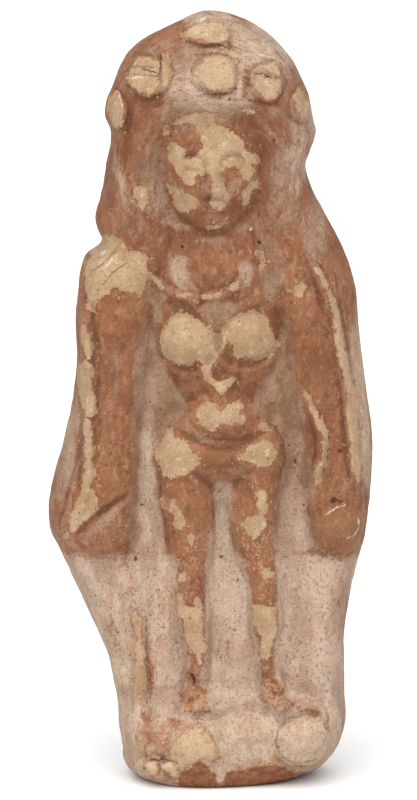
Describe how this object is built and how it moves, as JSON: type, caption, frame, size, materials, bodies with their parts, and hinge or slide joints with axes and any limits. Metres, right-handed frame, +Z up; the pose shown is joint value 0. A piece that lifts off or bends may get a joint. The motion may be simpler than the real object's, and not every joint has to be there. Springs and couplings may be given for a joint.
{
  "type": "terracotta idol",
  "caption": "Mould-pressed terracotta standing female figure in relief on a thick slab with a low base, smooth rounded back, rests upright on its flat underside.",
  "frame": {"origin": "on the floor, under the middle of the whole object's box", "axes": "+Z up from the underside to the crown, -Y towards the viewer out of the carved front, +X to the viewer's right"},
  "size_m": [0.0694, 0.0306, 0.165],
  "materials": {
    "terracotta": "matte, worn slip over paler clay"
  },
  "bodies": {
    "root": {"terracotta_idol": "terracotta"}
  },
  "joints": []
}
